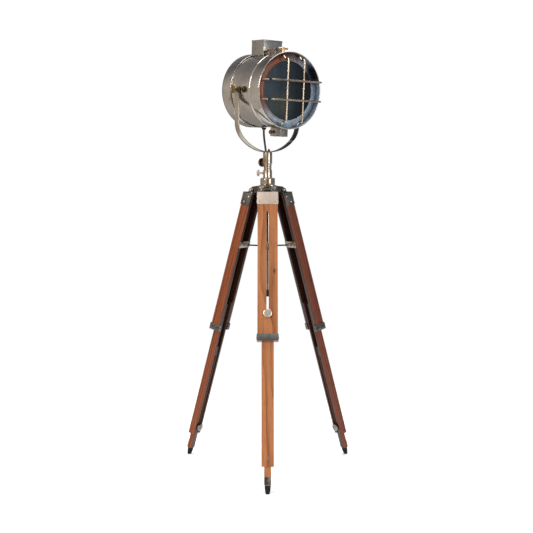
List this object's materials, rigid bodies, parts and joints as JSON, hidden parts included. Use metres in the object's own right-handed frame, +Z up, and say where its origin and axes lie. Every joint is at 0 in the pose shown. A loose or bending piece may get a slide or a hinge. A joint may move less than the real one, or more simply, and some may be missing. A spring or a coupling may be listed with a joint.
{
  "type": "tripod floor lamp",
  "caption": "Searchlight floor lamp: a round metal lamp head in a tilting yoke, on a sliding post over a folding wooden tripod with telescopic legs.",
  "frame": {"origin": "middle of the lamp's footprint, on the floor", "axes": "+Z up, +X to the lamp's right, -Y towards the front leg; the lamp head is modelled turned 35.7 degrees from -Y towards +X, as pictured"},
  "size_m": [0.6288, 0.5517, 1.5789],
  "materials": {
    "nickel": "polished nickel, mirror bright, with fine wear",
    "satin_nickel": "satin nickel",
    "bronze": "antique bronze",
    "wood": "oiled reddish-brown teak, satin",
    "rubber": "matt black rubber",
    "lens_glass": "dark smoked glass, glossy",
    "bulb_glass": "opal bulb glass",
    "black_plastic": "matt black phenolic",
    "cable": "matt black flex"
  },
  "bodies": {
    "stand": {"tripod_spider": "nickel", "height_collar": "nickel", "column_tube": "nickel", "column_plug": "rubber"},
    "brace_hub": {"brace_hub": "nickel"},
    "height_screw": {"height_screw": "nickel"},
    "post": {"centre_post": "nickel"},
    "yoke": {"yoke_socket": "nickel", "yoke_strap": "nickel", "head_lead": "cable"},
    "pan_knob": {"pan_knob": "bronze"},
    "tilt_knob_left": {"tilt_knob_left": "bronze"},
    "tilt_knob_right": {"tilt_knob_right": "bronze"},
    "head": {"drum_shell": "nickel", "rear_cover": "nickel", "front_hood": "nickel", "lens_bezel": "nickel", "glass_lens": "lens_glass", "cage_guard": "satin_nickel", "vent_box": "nickel", "switch_box": "nickel", "cord_gland": "bronze", "lamp_holder": "black_plastic", "bulb": "bulb_glass"},
    "switch_knob": {"switch_knob": "bronze"},
    "hood_screw_left": {"hood_screw_left": "bronze"},
    "hood_screw_right": {"hood_screw_right": "bronze"},
    "leg_front": {"leg_cap_front": "satin_nickel", "hinge_bolt_front": "nickel", "upper_leg_front": "wood", "upper_ferrule_front": "nickel", "brace_clip_front": "nickel"},
    "brace_arm_front": {"brace_arm_front": "nickel"},
    "middle_front": {"middle_leg_front": "wood"},
    "lower_front": {"lower_leg_front": "wood", "foot_tip_front": "rubber"},
    "clamp_knob_front": {"clamp_knob_front": "satin_nickel"},
    "foot_knob_front": {"foot_knob_front": "satin_nickel"},
    "leg_left": {"leg_cap_left": "satin_nickel", "hinge_bolt_left": "nickel", "upper_leg_left": "wood", "upper_ferrule_left": "nickel", "brace_clip_left": "nickel"},
    "brace_arm_left": {"brace_arm_left": "nickel"},
    "middle_left": {"middle_leg_left": "wood"},
    "lower_left": {"lower_leg_left": "wood", "foot_tip_left": "rubber"},
    "clamp_knob_left": {"clamp_knob_left": "satin_nickel"},
    "foot_knob_left": {"foot_knob_left": "satin_nickel"},
    "leg_right": {"leg_cap_right": "satin_nickel", "hinge_bolt_right": "nickel", "upper_leg_right": "wood", "upper_ferrule_right": "nickel", "brace_clip_right": "nickel"},
    "brace_arm_right": {"brace_arm_right": "nickel"},
    "middle_right": {"middle_leg_right": "wood"},
    "lower_right": {"lower_leg_right": "wood", "foot_tip_right": "rubber"},
    "clamp_knob_right": {"clamp_knob_right": "satin_nickel"},
    "foot_knob_right": {"foot_knob_right": "satin_nickel"}
  },
  "joints": [
    {"name": "fold_front", "type": "hinge", "parent": "stand", "child": "leg_front", "pos_m": [0, 0.025, 1.034], "axis": [1, 0, 0], "range_deg": [0, 16.2]},
    {"name": "brace_front", "type": "hinge", "parent": "leg_front", "child": "brace_arm_front", "pos_m": [0, -0.00706, 0.82879], "axis": [1, 0, 0], "range_deg": [0, 73]},
    {"name": "middle_slide_front", "type": "slide", "parent": "leg_front", "child": "middle_front", "axis": [0, 0.2792, 0.9602], "range_m": [0, 0.36]},
    {"name": "lower_slide_front", "type": "slide", "parent": "middle_front", "child": "lower_front", "axis": [0, -0.2792, -0.9602], "range_m": [0, 0.29]},
    {"name": "clamp_turn_front", "type": "hinge", "parent": "middle_front", "child": "clamp_knob_front", "pos_m": [0, -0.11902, 0.60307], "axis": [0, -0.9602, 0.2792], "continuous": true},
    {"name": "foot_turn_front", "type": "hinge", "parent": "middle_front", "child": "foot_knob_front", "pos_m": [0, -0.22431, 0.11194], "axis": [0, -0.9602, 0.2792], "continuous": true},
    {"name": "fold_left", "type": "hinge", "parent": "stand", "child": "leg_left", "pos_m": [-0.05265, 0.1162, 1.034], "axis": [-0.5, -0.866, 0], "range_deg": [0, 16.2]},
    {"name": "brace_left", "type": "hinge", "parent": "leg_left", "child": "brace_arm_left", "pos_m": [-0.08042, 0.13223, 0.82879], "axis": [-0.5, -0.866, 0], "range_deg": [0, 73]},
    {"name": "middle_slide_left", "type": "slide", "parent": "leg_left", "child": "middle_left", "axis": [0.2418, -0.1396, 0.9602], "range_m": [0, 0.36]},
    {"name": "lower_slide_left", "type": "slide", "parent": "middle_left", "child": "lower_left", "axis": [-0.2418, 0.1396, -0.9602], "range_m": [0, 0.29]},
    {"name": "clamp_turn_left", "type": "hinge", "parent": "middle_left", "child": "clamp_knob_left", "pos_m": [-0.17738, 0.18821, 0.60307], "axis": [-0.8316, 0.4801, 0.2792], "continuous": true},
    {"name": "foot_turn_left", "type": "hinge", "parent": "middle_left", "child": "foot_knob_left", "pos_m": [-0.26856, 0.24086, 0.11194], "axis": [-0.8316, 0.4801, 0.2792], "continuous": true},
    {"name": "fold_right", "type": "hinge", "parent": "stand", "child": "leg_right", "pos_m": [0.05265, 0.1162, 1.034], "axis": [-0.5, 0.866, 0], "range_deg": [0, 16.2]},
    {"name": "brace_right", "type": "hinge", "parent": "leg_right", "child": "brace_arm_right", "pos_m": [0.08042, 0.13223, 0.82879], "axis": [-0.5, 0.866, 0], "range_deg": [0, 73]},
    {"name": "middle_slide_right", "type": "slide", "parent": "leg_right", "child": "middle_right", "axis": [-0.2418, -0.1396, 0.9602], "range_m": [0, 0.36]},
    {"name": "lower_slide_right", "type": "slide", "parent": "middle_right", "child": "lower_right", "axis": [0.2418, 0.1396, -0.9602], "range_m": [0, 0.29]},
    {"name": "clamp_turn_right", "type": "hinge", "parent": "middle_right", "child": "clamp_knob_right", "pos_m": [0.17738, 0.18821, 0.60307], "axis": [0.8316, 0.4801, 0.2792], "continuous": true},
    {"name": "foot_turn_right", "type": "hinge", "parent": "middle_right", "child": "foot_knob_right", "pos_m": [0.26856, 0.24086, 0.11194], "axis": [0.8316, 0.4801, 0.2792], "continuous": true},
    {"name": "hub_slide", "type": "slide", "parent": "stand", "child": "brace_hub", "axis": [0, 0, 1], "range_m": [0, 0.0587]},
    {"name": "height_screw_turn", "type": "hinge", "parent": "stand", "child": "height_screw", "pos_m": [-0.03, 0.0858, 1.0966], "axis": [-1, 0, 0], "continuous": true},
    {"name": "post_slide", "type": "slide", "parent": "stand", "child": "post", "axis": [0, 0, 1], "range_m": [0, 0.25]},
    {"name": "yoke_pan", "type": "hinge", "parent": "post", "child": "yoke", "pos_m": [0, 0.0858, 1.15], "axis": [0, 0, 1], "range_deg": [-170, 170]},
    {"name": "pan_knob_turn", "type": "hinge", "parent": "yoke", "child": "pan_knob", "pos_m": [-0.01948, 0.10861, 1.1358], "axis": [-0.6494, 0.7604, 0], "continuous": true},
    {"name": "head_tilt", "type": "hinge", "parent": "yoke", "child": "head", "pos_m": [0, 0.0858, 1.3952], "axis": [0.8125, 0.583, 0], "range_deg": [-45, 25], "deforming": ["head_lead"]},
    {"name": "tilt_knob_turn_left", "type": "hinge", "parent": "yoke", "child": "tilt_knob_left", "pos_m": [-0.12187, -0.00165, 1.3952], "axis": [-0.8125, -0.583, 0], "continuous": true},
    {"name": "hood_screw_turn_left", "type": "hinge", "parent": "head", "child": "hood_screw_left", "pos_m": [0.00397, 0.02537, 1.52211], "axis": [0.0381, -0.0531, 0.9979], "continuous": true},
    {"name": "tilt_knob_turn_right", "type": "hinge", "parent": "yoke", "child": "tilt_knob_right", "pos_m": [0.12187, 0.17325, 1.3952], "axis": [0.8125, 0.583, 0], "continuous": true},
    {"name": "hood_screw_turn_right", "type": "hinge", "parent": "head", "child": "hood_screw_right", "pos_m": [0.05597, 0.06269, 1.52211], "axis": [0.0381, -0.0531, 0.9979], "continuous": true},
    {"name": "switch_turn", "type": "hinge", "parent": "head", "child": "switch_knob", "pos_m": [0.01545, 0.03511, 1.24359], "axis": [-0.8125, -0.583, 0], "continuous": true}
  ],
  "couplings": [
    {"joint": "brace_front", "follows": "fold_front", "ratio": 4.5},
    {"joint": "fold_left", "follows": "fold_front", "ratio": 1},
    {"joint": "brace_left", "follows": "fold_front", "ratio": 4.5},
    {"joint": "fold_right", "follows": "fold_front", "ratio": 1},
    {"joint": "brace_right", "follows": "fold_front", "ratio": 4.5},
    {"joint": "hub_slide", "follows": "fold_front", "m_per_rad": 0.2072}
  ]
}
